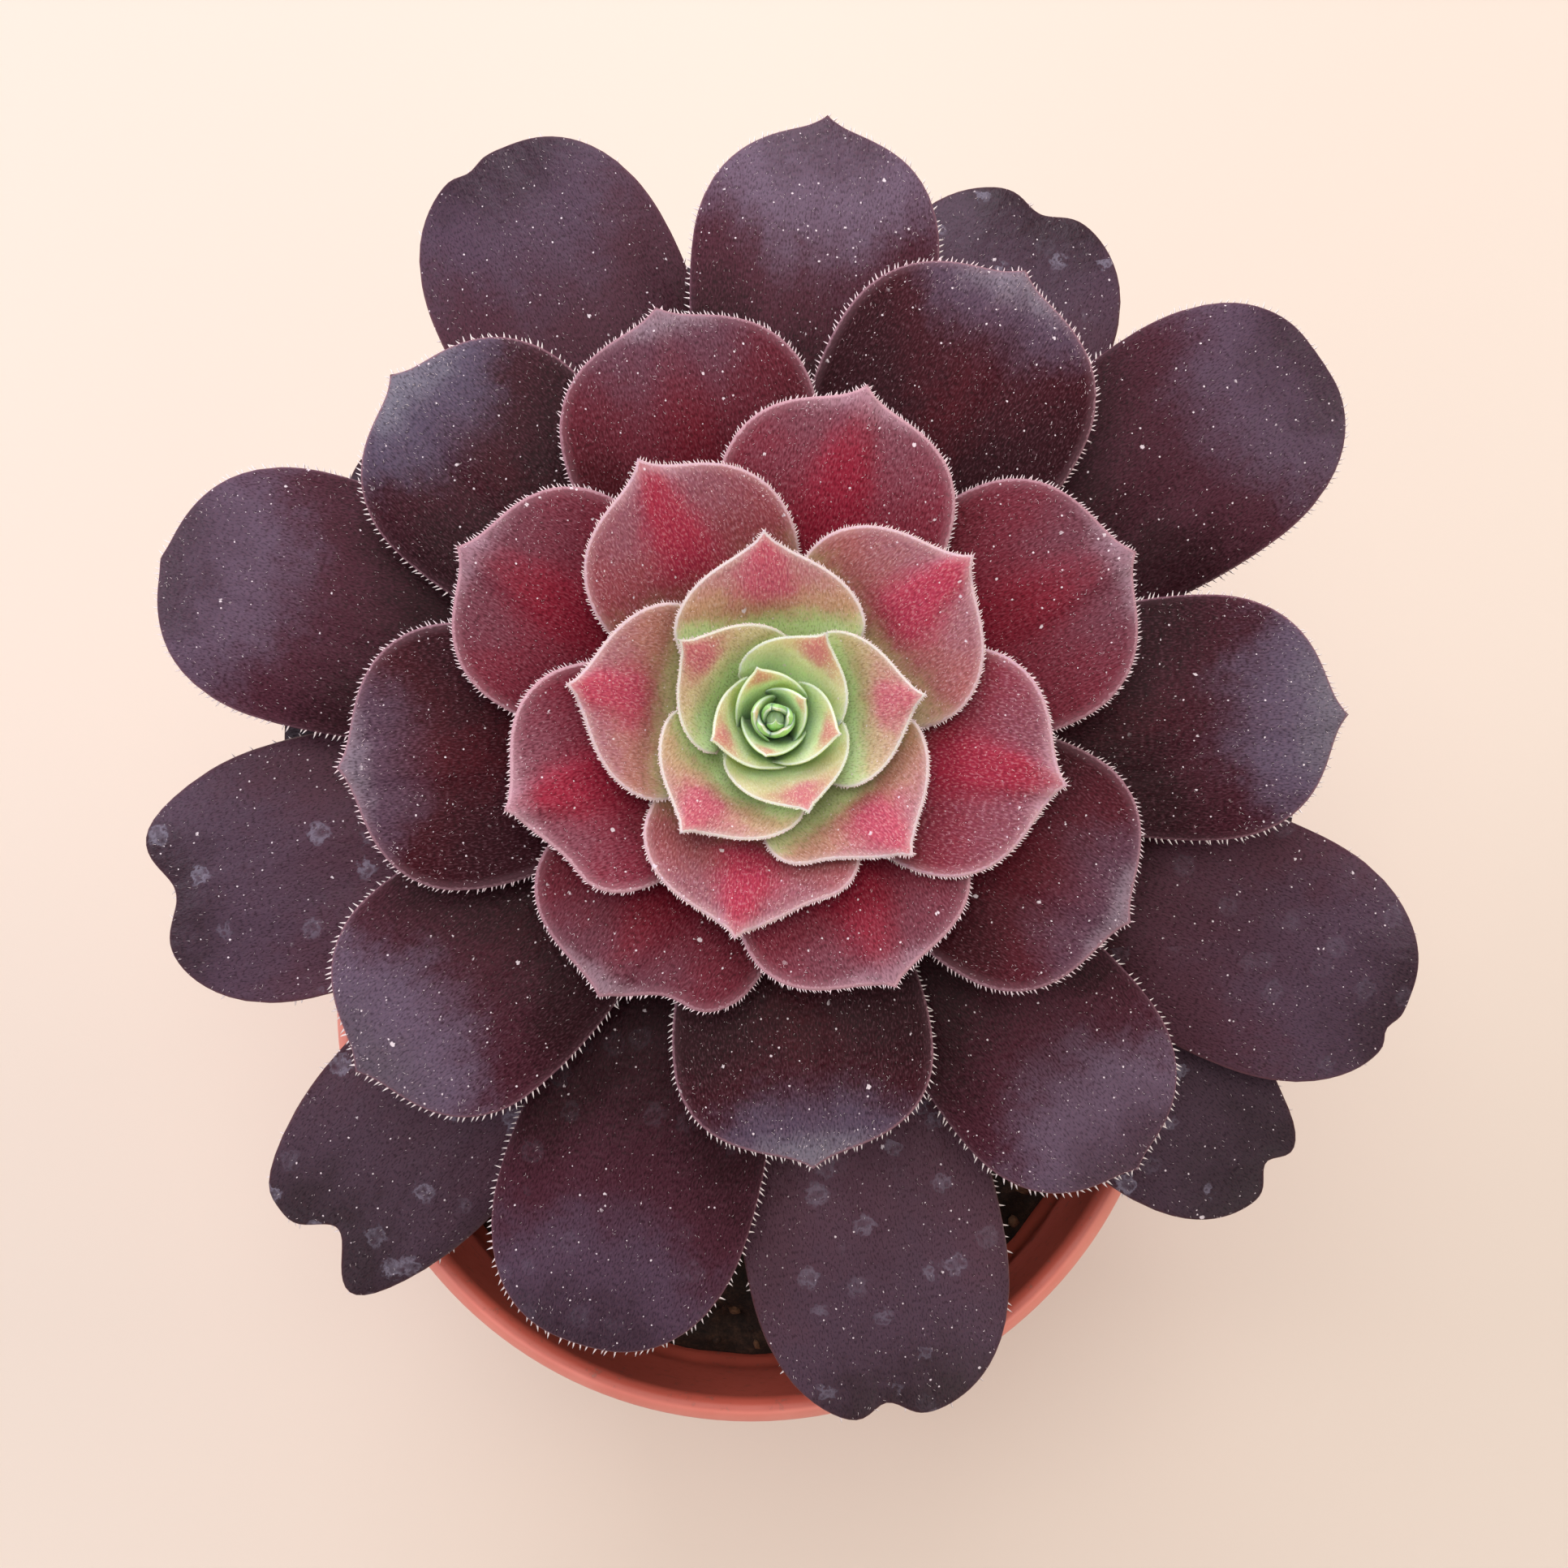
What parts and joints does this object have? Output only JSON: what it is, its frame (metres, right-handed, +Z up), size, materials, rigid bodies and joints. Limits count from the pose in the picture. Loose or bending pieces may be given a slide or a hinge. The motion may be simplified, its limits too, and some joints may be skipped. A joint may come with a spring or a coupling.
{
  "type": "potted aeonium",
  "caption": "Dark rosette succulent on a short leaning stem, in a round tapered plastic nursery pot filled with soil.",
  "frame": {"origin": "middle of the pot's flat base, on the surface that the pot stands on", "axes": "+Z up along the pot's axis; -Y the side that the plant is looked at from, so that the stem leans back to +Y; +X to that viewer's right"},
  "size_m": [0.1448, 0.1487, 0.1475],
  "materials": {
    "pot_plastic": "satin",
    "potting_soil": "matte",
    "stem_bark": "matte",
    "aubergine_leaf": "matte",
    "wine_leaf": "matte",
    "rose_leaf": "matte",
    "green_leaf": "matte"
  },
  "bodies": {
    "root": {"pot": "pot_plastic", "soil": "potting_soil", "stem": "stem_bark", "leaf_01": "aubergine_leaf", "leaf_02": "aubergine_leaf", "leaf_03": "aubergine_leaf", "leaf_04": "aubergine_leaf", "leaf_05": "aubergine_leaf", "leaf_06": "aubergine_leaf", "leaf_07": "aubergine_leaf", "leaf_08": "aubergine_leaf", "leaf_09": "aubergine_leaf", "leaf_10": "aubergine_leaf", "leaf_11": "aubergine_leaf", "leaf_12": "aubergine_leaf", "leaf_13": "aubergine_leaf", "leaf_14": "aubergine_leaf", "leaf_15": "aubergine_leaf", "leaf_16": "aubergine_leaf", "leaf_17": "aubergine_leaf", "leaf_18": "aubergine_leaf", "leaf_19": "aubergine_leaf", "leaf_20": "aubergine_leaf", "leaf_21": "wine_leaf", "leaf_22": "wine_leaf", "leaf_23": "wine_leaf", "leaf_24": "wine_leaf", "leaf_25": "wine_leaf", "leaf_26": "wine_leaf", "leaf_27": "wine_leaf", "leaf_28": "wine_leaf", "leaf_29": "wine_leaf", "leaf_30": "wine_leaf", "leaf_31": "rose_leaf", "leaf_32": "rose_leaf", "leaf_33": "rose_leaf", "leaf_34": "rose_leaf", "leaf_35": "rose_leaf", "leaf_36": "rose_leaf", "leaf_37": "rose_leaf", "leaf_38": "rose_leaf", "leaf_39": "rose_leaf", "leaf_40": "rose_leaf", "heart": "green_leaf"}
  },
  "joints": []
}
